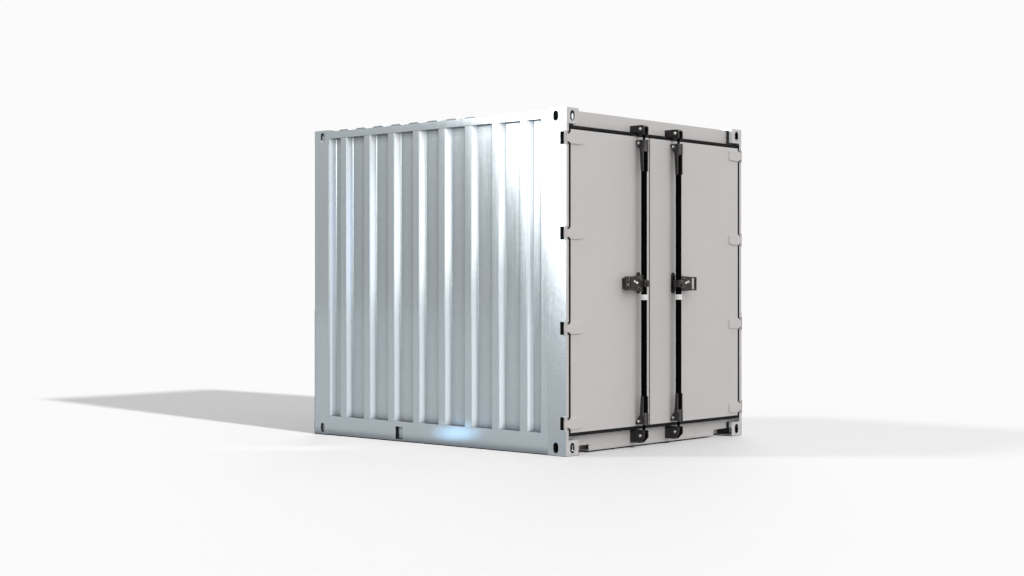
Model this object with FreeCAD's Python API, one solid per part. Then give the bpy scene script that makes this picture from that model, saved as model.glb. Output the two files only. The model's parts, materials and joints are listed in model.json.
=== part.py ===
"""Short steel shipping container with corrugated walls and two flat door leaves.

Frame: origin at the bottom centre of the container, +X along its length towards the doors,
+Y towards the right-hand side wall when facing the doors, +Z up. All sizes in millimetres.

Most pieces are drawn from three running distances, so that a left piece and its right twin
share one description:
  depth  how far a point lies behind the plane of the door-end castings (negative is in front),
  side   how far it lies inwards from the left or the right face,
  height how far it lies above the ground.
"""
import FreeCAD
import Part
import math
import os

Vector = FreeCAD.Vector

# ---------------------------------------------------------------- overall sizes
LENGTH = 2800.0
WIDTH = 2330.0
HEIGHT = 2591.0

# ---------------------------------------------------------------- corner castings
CASTING_LONG = 178.0
CASTING_WIDE = 145.0
CASTING_HIGH = 118.0
CASTING_FACE_WALL = 28.0        # plate that carries the top or bottom aperture
CASTING_SIDE_WALL = 25.0        # plates that carry the end and side apertures
CASTING_INNER_WALL = 14.0       # plates towards the container
FACE_APERTURE_LONG = 124.5      # oblong twist-lock hole, ends rounded
FACE_APERTURE_WIDE = 63.5
FACE_APERTURE_FROM_END = 101.5  # its centre behind the end face
SIDE_APERTURE_WIDE = 50.8
END_APERTURE_WIDE = 50.0
LIFT_APERTURE_HIGH = 79.0       # height of the end and side apertures

# ---------------------------------------------------------------- sheets and sections
SHEET = 2.0
PLATE = 6.0
FRAME_WALL = 8.0

# ---------------------------------------------------------------- posts
DOOR_POST_WIDE = 110.0
DOOR_FLANGE_WIDE = 30.0         # narrow front edge of the door post beside the leaf
DOOR_FLANGE_DEEP = 60.0
REAR_POST_WIDE = 80.0

# ---------------------------------------------------------------- header, sill and rails
HEADER_RECESS = 55.0            # how far header and sill lie behind the castings
HEADER_BOTTOM = 2461.0
HEADER_DROP = 10.0              # header top below the top of the castings
HEADER_LIP_BOTTOM = 2420.0
SILL_DEEP = 100.0
SILL_TOP = 145.0
GROUND_GAP = 14.0               # underside of sill and cross members above the ground
SILL_NOTCH_WIDE = 190.0
SILL_NOTCH_HIGH = 50.0
SILL_END_PLATE = 8.0
THRESHOLD_RECESS = 15.0         # raised threshold behind the sill's front face
RAIL_GROUND_GAP = 4.0
BOTTOM_RAIL_TOP = 162.0
BOTTOM_RAIL_FLANGE = 50.0
RAIL_SLOT_LONG = 84.0
RAIL_SLOT_HIGH = 100.0
RAIL_SLOT_BOTTOM = 20.0
RAIL_SLOT_FROM_REAR = 1032.0    # centre of the slot from the rear end
TOP_RAIL_SIZE = 60.0
TOP_RAIL_DROP = 15.0            # rail top below the top of the castings
TOP_RAIL_WALL = 4.0
REAR_RAIL_DEEP = 60.0
REAR_TOP_RAIL_BOTTOM = 2440.0

# ---------------------------------------------------------------- corrugated walls
WAVE_DEPTH = 40.0
WAVE_WEB = 33.0                 # run of each sloping web along the wall
WAVE_CREST = 74.0               # width of a flat at the outer plane
WAVE_TROUGH = 214.0             # width of a groove at the outer plane
WAVE_END_TROUGH = 135.0         # the first and the last groove are narrower
WAVE_COUNT = 7
SIDE_WAVE_MARGIN = 248.0        # flat from the door end to the first groove
ROOF_PITCH = 209.0
ROOF_CREST = 91.0
ROOF_WEB = 18.0
ROOF_RISE = 11.0
ROOF_COUNT = 11
ROOF_INSET = 12.0               # edge of the roof sheet inside the side face

# ---------------------------------------------------------------- floor
CROSS_COUNT = 6
CROSS_WIDE = 45.0
CROSS_WALL = 4.0
BOARD_THICK = 28.0
BOARD_COUNT = 5
BOARD_GAP = 1.0

# ---------------------------------------------------------------- door leaves
LEAF_THICK = 50.0
LEAF_SKIN = 4.0
LEAF_FRAME_WIDE = 50.0
LEAF_SIDE_EDGE = 55.0           # leaf edge inside the side face
LEAF_TOP = 2430.0
LEAF_BOTTOM = 172.0
LEFT_LEAF_END = 1020.0          # free edge of the left leaf inside the left face
SEAM_GAP = 16.0
LEAF_RIB_COUNT = 2

# ---------------------------------------------------------------- seals
SEAL_FRONT = 4.0                # seal face behind the leaf face
SEAL_DEEP = 42.0
SIDE_SEAL = 18.0
BOTTOM_SEAL = 26.0
TOP_SEAL = 6.0
SEAM_SEAL = 9.0
HEADER_SEAL = 20.0

# ---------------------------------------------------------------- hinges
HINGE_COUNT = 4
HINGE_TOP = 2364.0
HINGE_BOTTOM = 241.0
AXIS_DEPTH = 8.0                # hinge axis behind the door-end plane
AXIS_SIDE = 2.0                 # hinge axis inside the side face
KNUCKLE_RADIUS = 13.0
KNUCKLE_HIGH = 57.0
PIN_RADIUS = 7.0
PIN_CLEARANCE = 0.1
LUG_CLEARANCE = 2.0
LUG_ROOT = 6.0                  # how far a lug runs into the post
STRAP_THICK = 8.0
STRAP_HIGH = 85.0
STRAP_TIP_HIGH = 68.0
STRAP_END = 190.0               # strap end inside the side face
STRAP_NECK_END = 32.0
STRAP_SHOULDER = 42.0
STRAP_TAPER = 150.0
HINGE_SLOT_DEEP = 58.0
HINGE_SLOT_SIDE = 22.0
STRAP_CLEARANCE = 5.5

# ---------------------------------------------------------------- locking bars
LEFT_BAR_SIDE = 877.0
RIGHT_BAR_SIDE = 994.0
BAR_PROUD = 60.0                # bar axis in front of the leaf
BAR_RADIUS = 23.0
BAR_CLEARANCE = 0.1
NECK_RADIUS = 11.0
NECK_TOP = 2495.0
NECK_BOTTOM = 60.0
COLLAR_RADIUS = 29.0
COLLAR_TOP = 1198.0
COLLAR_HIGH = 42.0

# ---------------------------------------------------------------- bar guides on the leaves
SLEEVE_RADIUS = 35.0
SLEEVE_HIGH = 90.0
GUSSET_HALF = 30.0              # half width of the gusset between sleeve and leaf
GUSSET_FOOT = 18.0              # height of the gusset where it meets the leaf
GUSSET_KNEE_BACK = 30.0
GUSSET_KNEE = 62.0
CHEEK_INNER = 25.0              # arms beside the bar, measured from its axis
CHEEK_OUTER = 34.0
CHEEK_BACK = 44.0
CHEEK_FRONT = 76.0
CHEEK_TIP_BACK = 52.0
CHEEK_SEAT = 20.0               # how far an arm runs into the sleeve
TOP_GUIDE_TOP = 2402.0
TOP_CHEEK_HIGH = 155.0
BOTTOM_GUIDE_BOTTOM = 186.0
BOTTOM_CHEEK_HIGH = 130.0

# ---------------------------------------------------------------- keepers on header and sill
KEEPER_WIDE = 60.0
KEEPER_FRONT = 82.0
KEEPER_GAP = 10.5               # room beside the neck in the fork
KEEPER_BACK_GAP = 6.0
TOP_KEEPER_TOP = 2517.0
TOP_KEEPER_BOTTOM = 2441.0
BOTTOM_KEEPER_TOP = 141.0
BOTTOM_KEEPER_ROOT = 41.0
BOTTOM_KEEPER_TIP = 85.0
KEEPER_ROUND = 14.0
KEEPER_CAP = 13.0               # plate that closes the upper fork above the neck

# ---------------------------------------------------------------- handles
HUB_HALF = 30.0
HUB_BOTTOM = 1257.0
HUB_TOP = 1311.0
HUB_BOSS_RADIUS = 17.0
HUB_BOSS_FRONT = 104.0
HANDLE_REACH = 238.0
HUB_CLEARANCE = 0.2
LEVER_THICK = 12.0
LEVER_ROOT_HALF = 64.0
LOOP_LONG = 75.0
LOOP_HIGH = 110.0
LOOP_DEEP = 18.0
LOOP_WALL = 11.0
BACKPLATE_HALF = 23.0
BACKPLATE_THICK = 10.0
BACKPLATE_TOP = 1373.0
BACKPLATE_BOTTOM = 1205.0

# ---------------------------------------------------------------- derived places
HALF_LENGTH = LENGTH / 2
HALF_WIDTH = WIDTH / 2
RIGHT_LEAF_END = WIDTH - LEFT_LEAF_END - SEAM_GAP
HEADER_TOP = HEIGHT - HEADER_DROP
TOP_RAIL_TOP = HEIGHT - TOP_RAIL_DROP
TOP_RAIL_BOTTOM = TOP_RAIL_TOP - TOP_RAIL_SIZE
UPPER_CASTING_BOTTOM = HEIGHT - CASTING_HIGH
FLOOR_TOP = BOTTOM_RAIL_TOP
FLOOR_BOTTOM = FLOOR_TOP - BOARD_THICK


# ---------------------------------------------------------------- drawing helpers
def box(depth, side, height):
    """Box between pairs of depths, sides and heights, on the left half."""
    shape = Part.makeBox(depth[1] - depth[0], side[1] - side[0], height[1] - height[0])
    shape.translate(Vector(HALF_LENGTH - depth[1], side[0] - HALF_WIDTH, height[0]))
    return shape


def upright(points, height):
    """Prism of a (depth, side) outline between two heights."""
    corners = [Vector(HALF_LENGTH - d, s - HALF_WIDTH, height[0]) for d, s in points]
    face = Part.Face(Part.makePolygon(corners + corners[:1]))
    return face.extrude(Vector(0, 0, height[1] - height[0]))


def crosswise(points, side):
    """Prism of a (depth, height) outline between two sides."""
    corners = [Vector(HALF_LENGTH - d, side[0] - HALF_WIDTH, h) for d, h in points]
    face = Part.Face(Part.makePolygon(corners + corners[:1]))
    return face.extrude(Vector(0, side[1] - side[0], 0))


def facing(points, depth):
    """Prism of a (side, height) outline between two depths."""
    corners = [Vector(HALF_LENGTH - depth[1], s - HALF_WIDTH, h) for s, h in points]
    face = Part.Face(Part.makePolygon(corners + corners[:1]))
    return face.extrude(Vector(depth[1] - depth[0], 0, 0))


def rod(depth, side, radius, height):
    """Upright round bar."""
    base = Vector(HALF_LENGTH - depth, side - HALF_WIDTH, height[0])
    return Part.makeCylinder(radius, height[1] - height[0], base)


def stadium(centre, along, across, length, width, thickness):
    """Oblong cutter with round ends; its long side runs along one vector, its depth along across."""
    half = (length - width) / 2
    lift = along.cross(across)
    reach = along * half
    spread = lift * (width / 2)
    start = centre - across * (thickness / 2)
    a, b = start - reach - spread, start + reach - spread
    c, d = start + reach + spread, start - reach + spread
    far, near = start + along * (length / 2), start - along * (length / 2)
    edges = [Part.LineSegment(a, b).toShape(), Part.Arc(b, far, c).toShape(),
             Part.LineSegment(c, d).toShape(), Part.Arc(d, near, a).toShape()]
    return Part.Face(Part.Wire(edges)).extrude(across * thickness)


def mirrored(shape):
    """The same piece on the right-hand side."""
    return shape.mirror(Vector(0, 0, 0), Vector(0, 1, 0))


def fused(shapes):
    """One solid from pieces that overlap or share faces."""
    whole = shapes[0].fuse(shapes[1:]) if len(shapes) > 1 else shapes[0]
    return whole.removeSplitter()


def offset_line(points, distance):
    """Points of a line moved sideways by a distance, mitred at its corners."""
    moved = []
    for index, (x, y) in enumerate(points):
        normals = []
        for first, second in ((index - 1, index), (index, index + 1)):
            if first >= 0 and second < len(points):
                run = points[second][0] - points[first][0]
                rise = points[second][1] - points[first][1]
                size = math.hypot(run, rise)
                normals.append((-rise / size, run / size))
        nx = sum(n[0] for n in normals) / len(normals)
        ny = sum(n[1] for n in normals) / len(normals)
        scale = distance / (nx * nx + ny * ny)
        moved.append((x + nx * scale, y + ny * scale))
    return moved


def wave_line(start, end, grooves, depth, web):
    """Line of a corrugated sheet: flats at zero, grooves at depth, as (along, into) points."""
    points = [(start, 0.0)]
    for low, high in grooves:
        points += [(low, 0.0), (low + web, depth), (high - web, depth), (high, 0.0)]
    return points + [(end, 0.0)]


def hollow_box(depth, side, height, wall):
    """Rectangular tube that runs crosswise, open at both ends."""
    outer = box(depth, side, height)
    inner = box((depth[0] + wall, depth[1] - wall), side, (height[0] + wall, height[1] - wall))
    return outer.cut(inner)


# ---------------------------------------------------------------- corner castings
def casting(at_rear, at_top):
    """Hollow corner fitting with an oblong hole in its face and one in each outer side."""
    low, high = (UPPER_CASTING_BOTTOM, HEIGHT) if at_top else (0.0, CASTING_HIGH)
    middle = (low + high) / 2
    body = box((0, CASTING_LONG), (0, CASTING_WIDE), (low, high))
    if at_top:
        cavity_height = (low + CASTING_INNER_WALL, high - CASTING_FACE_WALL)
        face_height = high - CASTING_FACE_WALL / 2
    else:
        cavity_height = (low + CASTING_FACE_WALL, high - CASTING_INNER_WALL)
        face_height = low + CASTING_FACE_WALL / 2
    cavity = box((CASTING_SIDE_WALL, CASTING_LONG - CASTING_INNER_WALL),
                 (CASTING_SIDE_WALL, CASTING_WIDE - CASTING_INNER_WALL), cavity_height)
    hole_x = HALF_LENGTH - FACE_APERTURE_FROM_END
    hole_y = CASTING_WIDE / 2 - HALF_WIDTH
    face_hole = stadium(Vector(hole_x, hole_y, face_height), Vector(1, 0, 0), Vector(0, 0, 1),
                        FACE_APERTURE_LONG, FACE_APERTURE_WIDE, CASTING_FACE_WALL)
    side_centre = Vector(hole_x, CASTING_SIDE_WALL / 2 - HALF_WIDTH, middle)
    side_hole = stadium(side_centre, Vector(0, 0, 1), Vector(0, 1, 0),
                        LIFT_APERTURE_HIGH, SIDE_APERTURE_WIDE, CASTING_SIDE_WALL)
    end_centre = Vector(HALF_LENGTH - CASTING_SIDE_WALL / 2, hole_y, middle)
    end_hole = stadium(end_centre, Vector(0, 0, 1), Vector(1, 0, 0),
                       LIFT_APERTURE_HIGH, END_APERTURE_WIDE, CASTING_SIDE_WALL)
    body = body.cut(cavity).cut(face_hole).cut(side_hole).cut(end_hole)
    if at_rear:
        body = body.mirror(Vector(0, 0, 0), Vector(1, 0, 0))
    return body


# ---------------------------------------------------------------- posts
def hinge_heights():
    """Middle heights of the hinges, evenly spaced."""
    step = (HINGE_TOP - HINGE_BOTTOM) / (HINGE_COUNT - 1)
    return [HINGE_BOTTOM + step * index for index in range(HINGE_COUNT)]


def door_post():
    """Door post: a box section with a front flange, notched and lugged for the hinges."""
    height = (CASTING_HIGH, UPPER_CASTING_BOTTOM)
    outline = [(0, 0), (0, DOOR_FLANGE_WIDE), (DOOR_FLANGE_DEEP, DOOR_FLANGE_WIDE),
               (DOOR_FLANGE_DEEP, DOOR_POST_WIDE), (CASTING_LONG, DOOR_POST_WIDE), (CASTING_LONG, 0)]
    post = upright(outline, height)
    bore = box((DOOR_FLANGE_DEEP + FRAME_WALL, CASTING_LONG - FRAME_WALL),
               (FRAME_WALL, DOOR_POST_WIDE - FRAME_WALL), height)
    post = post.cut(bore)
    notch_half = STRAP_HIGH / 2 + STRAP_CLEARANCE
    lug_start = KNUCKLE_HIGH / 2 + LUG_CLEARANCE
    lugs = []
    cutters = []
    for middle in hinge_heights():
        span = (middle - notch_half, middle + notch_half)
        cutters.append(box((0, HINGE_SLOT_DEEP), (0, HINGE_SLOT_SIDE), span))
        cutters.append(box((0, STRAP_CLEARANCE), (0, DOOR_FLANGE_WIDE), span))
        upper = (middle + lug_start, middle + notch_half + LUG_ROOT)
        lower = (middle - notch_half - LUG_ROOT, middle - lug_start)
        lugs.append(rod(AXIS_DEPTH, AXIS_SIDE, KNUCKLE_RADIUS, upper))
        lugs.append(rod(AXIS_DEPTH, AXIS_SIDE, KNUCKLE_RADIUS, lower))
    post = fused([post.cut(cutters)] + lugs)
    return post.cut([hinge_pin(middle) for middle in hinge_heights()])


def hinge_pin(middle):
    """Pin held by the two lugs of a hinge."""
    half = STRAP_HIGH / 2
    return rod(AXIS_DEPTH, AXIS_SIDE, PIN_RADIUS, (middle - half, middle + half))


def rear_post():
    """Rear corner post, a plain box section between its castings."""
    height = (CASTING_HIGH, UPPER_CASTING_BOTTOM)
    depth = (LENGTH - CASTING_LONG, LENGTH)
    post = box(depth, (0, REAR_POST_WIDE), height)
    bore = box((depth[0] + FRAME_WALL, depth[1] - FRAME_WALL),
               (FRAME_WALL, REAR_POST_WIDE - FRAME_WALL), height)
    return post.cut(bore)


# ---------------------------------------------------------------- cross pieces of the two ends
def header():
    """Box beam over the doors."""
    side = (CASTING_WIDE, WIDTH - CASTING_WIDE)
    return hollow_box((HEADER_RECESS, CASTING_LONG), side, (HEADER_BOTTOM, HEADER_TOP), PLATE)


def header_lip():
    """Strip under the header, behind the top edge of the leaves."""
    strip = box((DOOR_FLANGE_DEEP, DOOR_FLANGE_DEEP + PLATE),
                (DOOR_POST_WIDE, WIDTH - DOOR_POST_WIDE), (HEADER_LIP_BOTTOM, UPPER_CASTING_BOTTOM))
    return strip.cut(box((HEADER_RECESS, CASTING_LONG), (CASTING_WIDE, WIDTH - CASTING_WIDE),
                         (HEADER_BOTTOM, HEADER_TOP)))


def sill():
    """Box beam under the doors, with two notches in its underside."""
    side = (CASTING_WIDE, WIDTH - CASTING_WIDE)
    depth = (HEADER_RECESS, HEADER_RECESS + SILL_DEEP)
    beam = hollow_box(depth, side, (GROUND_GAP, SILL_TOP), PLATE)
    notch = box((HEADER_RECESS, HEADER_RECESS + SILL_DEEP - PLATE),
                (CASTING_WIDE, CASTING_WIDE + SILL_NOTCH_WIDE),
                (GROUND_GAP, GROUND_GAP + SILL_NOTCH_HIGH))
    return beam.cut([notch, mirrored(notch)])


def threshold():
    """Raised strip on the sill, level with the floor."""
    return box((HEADER_RECESS + THRESHOLD_RECESS, CASTING_LONG),
               (DOOR_POST_WIDE, WIDTH - DOOR_POST_WIDE), (SILL_TOP, FLOOR_TOP))


def sill_end_plate():
    """Plate on the casting that closes the corner between sill and door post."""
    return box((DOOR_FLANGE_DEEP - SILL_END_PLATE, DOOR_FLANGE_DEEP),
               (DOOR_FLANGE_WIDE, CASTING_WIDE), (CASTING_HIGH, SILL_TOP))


def rear_beam(height):
    """Hollow rear cross rail between the castings."""
    return hollow_box((LENGTH - REAR_RAIL_DEEP, LENGTH), (CASTING_WIDE, WIDTH - CASTING_WIDE),
                      height, PLATE)


def rear_seat(height):
    """Bar between the rear posts that joins a rear rail to the rear wall."""
    return box((LENGTH - REAR_RAIL_DEEP, LENGTH), (REAR_POST_WIDE, WIDTH - REAR_POST_WIDE), height)


# ---------------------------------------------------------------- side rails
def bottom_rail():
    """Channel along the foot of a side wall, with one slot through its web."""
    depth = (CASTING_LONG, LENGTH - CASTING_LONG)
    web = box(depth, (0, PLATE), (RAIL_GROUND_GAP, BOTTOM_RAIL_TOP))
    lower = box(depth, (0, BOTTOM_RAIL_FLANGE), (RAIL_GROUND_GAP, RAIL_GROUND_GAP + PLATE))
    upper = box(depth, (0, BOTTOM_RAIL_FLANGE), (BOTTOM_RAIL_TOP - PLATE, BOTTOM_RAIL_TOP))
    centre = LENGTH - RAIL_SLOT_FROM_REAR
    slot = box((centre - RAIL_SLOT_LONG / 2, centre + RAIL_SLOT_LONG / 2), (0, PLATE),
               (RAIL_SLOT_BOTTOM, RAIL_SLOT_BOTTOM + RAIL_SLOT_HIGH))
    return fused([web, lower, upper]).cut(slot)


def top_rail():
    """Square tube along the head of a side wall."""
    depth = (CASTING_LONG, LENGTH - CASTING_LONG)
    height = (TOP_RAIL_BOTTOM, TOP_RAIL_TOP)
    bore = box(depth, (TOP_RAIL_WALL, TOP_RAIL_SIZE - TOP_RAIL_WALL),
               (height[0] + TOP_RAIL_WALL, height[1] - TOP_RAIL_WALL))
    return box(depth, (0, TOP_RAIL_SIZE), height).cut(bore)


# ---------------------------------------------------------------- corrugated sheets
def side_wall():
    """Corrugated side sheet between the posts and the rails."""
    grooves = [(SIDE_WAVE_MARGIN, SIDE_WAVE_MARGIN + WAVE_END_TROUGH)]
    for _ in range(WAVE_COUNT):
        start = grooves[-1][1] + WAVE_CREST
        grooves.append((start, start + WAVE_TROUGH))
    start = grooves[-1][1] + WAVE_CREST
    grooves.append((start, start + WAVE_END_TROUGH))
    line = wave_line(CASTING_LONG, LENGTH - CASTING_LONG, grooves, WAVE_DEPTH, WAVE_WEB)
    back = offset_line(line, SHEET)
    return upright(line + back[::-1], (BOTTOM_RAIL_TOP, TOP_RAIL_BOTTOM))


def rear_wall():
    """Corrugated rear sheet between the rear posts and the rear rails."""
    pitch = WAVE_TROUGH + WAVE_CREST
    room = WIDTH - 2 * REAR_POST_WIDE
    count = int((room - WAVE_CREST) // pitch)
    first = (WIDTH - count * pitch + WAVE_CREST) / 2
    grooves = [(first + pitch * index, first + pitch * index + WAVE_TROUGH) for index in range(count)]
    line = wave_line(REAR_POST_WIDE, WIDTH - REAR_POST_WIDE, grooves, WAVE_DEPTH, WAVE_WEB)
    back = offset_line(line, SHEET)
    outline = [(LENGTH - into, along) for along, into in line + back[::-1]]
    return upright(outline, (BOTTOM_RAIL_TOP, REAR_TOP_RAIL_BOTTOM))


def roof():
    """Roof sheet with low ridges across the container, resting on the top rails."""
    start = CASTING_LONG
    end = LENGTH - PLATE
    first = start + (LENGTH - 2 * CASTING_LONG - ROOF_COUNT * ROOF_PITCH + ROOF_PITCH - ROOF_CREST) / 2
    ridges = [(first + ROOF_PITCH * index - ROOF_WEB, first + ROOF_PITCH * index + ROOF_CREST + ROOF_WEB)
              for index in range(ROOF_COUNT)]
    line = wave_line(start, end, ridges, ROOF_RISE - SHEET, ROOF_WEB)
    upper = offset_line(line, SHEET)
    outline = [(along, TOP_RAIL_TOP + rise) for along, rise in line + upper[::-1]]
    sheet = crosswise(outline, (ROOF_INSET, WIDTH - ROOF_INSET))
    corner = box((LENGTH - CASTING_LONG, LENGTH), (0, CASTING_WIDE), (UPPER_CASTING_BOTTOM, HEIGHT))
    return sheet.cut([corner, mirrored(corner)])


# ---------------------------------------------------------------- floor
def cross_members():
    """Channels across the underframe between the webs of the bottom rails."""
    first = HEADER_RECESS + SILL_DEEP
    last = LENGTH - REAR_RAIL_DEEP
    step = (last - first) / (CROSS_COUNT + 1)
    channels = []
    for index in range(1, CROSS_COUNT + 1):
        centre = first + step * index
        depth = (centre - CROSS_WIDE / 2, centre + CROSS_WIDE / 2)
        outer = box(depth, (PLATE, WIDTH - PLATE), (GROUND_GAP, FLOOR_BOTTOM))
        inner = box((depth[0] + CROSS_WALL, depth[1]), (PLATE, WIDTH - PLATE),
                    (GROUND_GAP + CROSS_WALL, FLOOR_BOTTOM - CROSS_WALL))
        channels.append(outer.cut(inner))
    return Part.makeCompound(channels)


def floor_boards():
    """Boards laid along the container on the cross members."""
    room = WIDTH - 2 * BOTTOM_RAIL_FLANGE
    wide = (room - BOARD_GAP * (BOARD_COUNT - 1)) / BOARD_COUNT
    corner = box((LENGTH - CASTING_LONG, LENGTH), (0, REAR_POST_WIDE), (FLOOR_BOTTOM, FLOOR_TOP))
    boards = []
    for index in range(BOARD_COUNT):
        start = BOTTOM_RAIL_FLANGE + index * (wide + BOARD_GAP)
        board = box((CASTING_LONG, LENGTH - REAR_RAIL_DEEP), (start, start + wide),
                    (FLOOR_BOTTOM, FLOOR_TOP))
        boards.append(board.cut([corner, mirrored(corner)]))
    return Part.makeCompound(boards)


# ---------------------------------------------------------------- door leaves
def leaf_panel(end):
    """Flat outer sheet of a door leaf."""
    return box((0, LEAF_SKIN), (LEAF_SIDE_EDGE, end), (LEAF_BOTTOM, LEAF_TOP))


def leaf_frame(end):
    """Welded frame behind the sheet: four edges and cross ribs."""
    depth = (LEAF_SKIN, LEAF_THICK)
    outer = box(depth, (LEAF_SIDE_EDGE, end), (LEAF_BOTTOM, LEAF_TOP))
    fields = LEAF_RIB_COUNT + 1
    low = LEAF_BOTTOM + LEAF_FRAME_WIDE
    room = LEAF_TOP - LEAF_FRAME_WIDE - low
    field = (room - LEAF_FRAME_WIDE * LEAF_RIB_COUNT) / fields
    holes = []
    for index in range(fields):
        start = low + index * (field + LEAF_FRAME_WIDE)
        holes.append(box(depth, (LEAF_SIDE_EDGE + LEAF_FRAME_WIDE, end - LEAF_FRAME_WIDE),
                         (start, start + field)))
    return outer.cut(holes)


def leaf_seal(end, seam):
    """Rubber strip round the edges of a leaf; the seam strip belongs to one leaf only."""
    depth = (SEAL_FRONT, SEAL_FRONT + SEAL_DEEP)
    free = end + seam
    outer = box(depth, (LEAF_SIDE_EDGE - SIDE_SEAL, free),
                (LEAF_BOTTOM - BOTTOM_SEAL, LEAF_TOP + TOP_SEAL))
    return outer.cut(box(depth, (LEAF_SIDE_EDGE, end), (LEAF_BOTTOM, LEAF_TOP)))


def hinge_blades():
    """Knuckles on the hinge pins, each with a strap welded across the leaf."""
    half, tip, neck = STRAP_HIGH / 2, STRAP_TIP_HIGH / 2, KNUCKLE_HIGH / 2
    blades = []
    for middle in hinge_heights():
        outline = [(AXIS_SIDE, -neck), (STRAP_NECK_END, -neck), (STRAP_SHOULDER, -half),
                   (STRAP_TAPER, -half), (STRAP_END, -tip), (STRAP_END, tip),
                   (STRAP_TAPER, half), (STRAP_SHOULDER, half), (STRAP_NECK_END, neck),
                   (AXIS_SIDE, neck)]
        strap = facing([(s, middle + h) for s, h in outline], (-STRAP_THICK, 0))
        knuckle = rod(AXIS_DEPTH, AXIS_SIDE, KNUCKLE_RADIUS, (middle - neck, middle + neck))
        bore = rod(AXIS_DEPTH, AXIS_SIDE, PIN_RADIUS + PIN_CLEARANCE, (middle - neck, middle + neck))
        blades.append(fused([strap, knuckle]).cut(bore))
    return Part.makeCompound(blades)


# ---------------------------------------------------------------- locking gear
def bar_guides(bar):
    """Guides at the top and the foot of a bar: a round sleeve, a gusset to the leaf and two arms."""
    bore = rod(-BAR_PROUD, bar, BAR_RADIUS + BAR_CLEARANCE, (LEAF_BOTTOM, LEAF_TOP))
    guides = []
    for seat, step, arm in ((TOP_GUIDE_TOP, -1, TOP_CHEEK_HIGH), (BOTTOM_GUIDE_BOTTOM, 1, BOTTOM_CHEEK_HIGH)):
        near = seat + step * SLEEVE_HIGH
        far = near + step * arm
        root = near - step * CHEEK_SEAT
        sleeve = rod(-BAR_PROUD, bar, SLEEVE_RADIUS, (min(seat, near), max(seat, near)))
        profile = [(0, seat), (0, seat + step * GUSSET_FOOT),
                   (-GUSSET_KNEE_BACK, seat + step * GUSSET_KNEE), (-BAR_PROUD, near), (-BAR_PROUD, seat)]
        gusset = crosswise(profile, (bar - GUSSET_HALF, bar + GUSSET_HALF))
        outline = [(-CHEEK_BACK, root), (-CHEEK_BACK, near), (-CHEEK_TIP_BACK, far),
                   (-CHEEK_FRONT, far), (-CHEEK_FRONT, root)]
        arms = [crosswise(outline, (bar - CHEEK_OUTER, bar - CHEEK_INNER)),
                crosswise(outline, (bar + CHEEK_INNER, bar + CHEEK_OUTER))]
        guides.append(fused([sleeve, gusset] + arms).cut(bore))
    return Part.makeCompound(guides)


def backplate(bar):
    """Plate behind the handle hub, with rounded ends."""
    low = BACKPLATE_BOTTOM + BACKPLATE_HALF
    high = BACKPLATE_TOP - BACKPLATE_HALF
    middle = Vector(HALF_LENGTH + BACKPLATE_THICK / 2, bar - HALF_WIDTH, (low + high) / 2)
    return stadium(middle, Vector(0, 0, 1), Vector(1, 0, 0),
                   BACKPLATE_TOP - BACKPLATE_BOTTOM, 2 * BACKPLATE_HALF, BACKPLATE_THICK)


def locking_bar(bar):
    """Round bar with a thinner neck at each end."""
    shaft = rod(-BAR_PROUD, bar, BAR_RADIUS, (BOTTOM_GUIDE_BOTTOM, TOP_GUIDE_TOP))
    neck = rod(-BAR_PROUD, bar, NECK_RADIUS, (NECK_BOTTOM, NECK_TOP))
    return fused([shaft, neck])


def bar_collar(bar):
    """Light ring on the bar below the handle."""
    height = (COLLAR_TOP - COLLAR_HIGH, COLLAR_TOP)
    ring = rod(-BAR_PROUD, bar, COLLAR_RADIUS, height)
    return ring.cut(rod(-BAR_PROUD, bar, BAR_RADIUS, height))


def handle(bar):
    """Hub on the bar, a lever towards the hinges and a loop at its end."""
    middle = (HUB_BOTTOM + HUB_TOP) / 2
    hub = box((-BAR_PROUD - HUB_HALF, -BAR_PROUD + HUB_HALF), (bar - HUB_HALF, bar + HUB_HALF),
              (HUB_BOTTOM, HUB_TOP))
    loop_half = LOOP_HIGH / 2
    tip = bar - HANDLE_REACH
    loop_start = tip + LOOP_LONG
    outline = [(bar, middle - LEVER_ROOT_HALF), (bar, middle + LEVER_ROOT_HALF),
               (loop_start - LOOP_WALL, middle + loop_half), (loop_start - LOOP_WALL, middle - loop_half)]
    lever = facing(outline, (-BAR_PROUD - LEVER_THICK / 2, -BAR_PROUD + LEVER_THICK / 2))
    loop_depth = (-BAR_PROUD - LOOP_DEEP / 2, -BAR_PROUD + LOOP_DEEP / 2)
    loop = box(loop_depth, (tip, loop_start), (middle - loop_half, middle + loop_half))
    hole = box(loop_depth, (tip + LOOP_WALL, loop_start - LOOP_WALL),
               (middle - loop_half + LOOP_WALL, middle + loop_half - LOOP_WALL))
    boss = Part.makeCylinder(HUB_BOSS_RADIUS, HUB_BOSS_FRONT - BAR_PROUD,
                             Vector(HALF_LENGTH + BAR_PROUD, bar - HALF_WIDTH, middle), Vector(1, 0, 0))
    bore = rod(-BAR_PROUD, bar, BAR_RADIUS + HUB_CLEARANCE,
               (middle - LEVER_ROOT_HALF, middle + LEVER_ROOT_HALF))
    return fused([hub, boss, lever, loop.cut(hole)]).cut(bore)


def keeper_fork(bar, height):
    """Room for a bar's neck in its keeper, open to the front."""
    half = NECK_RADIUS + KEEPER_GAP
    return box((-KEEPER_FRONT, -BAR_PROUD + NECK_RADIUS + KEEPER_BACK_GAP),
               (bar - half, bar + half), height)


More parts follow.
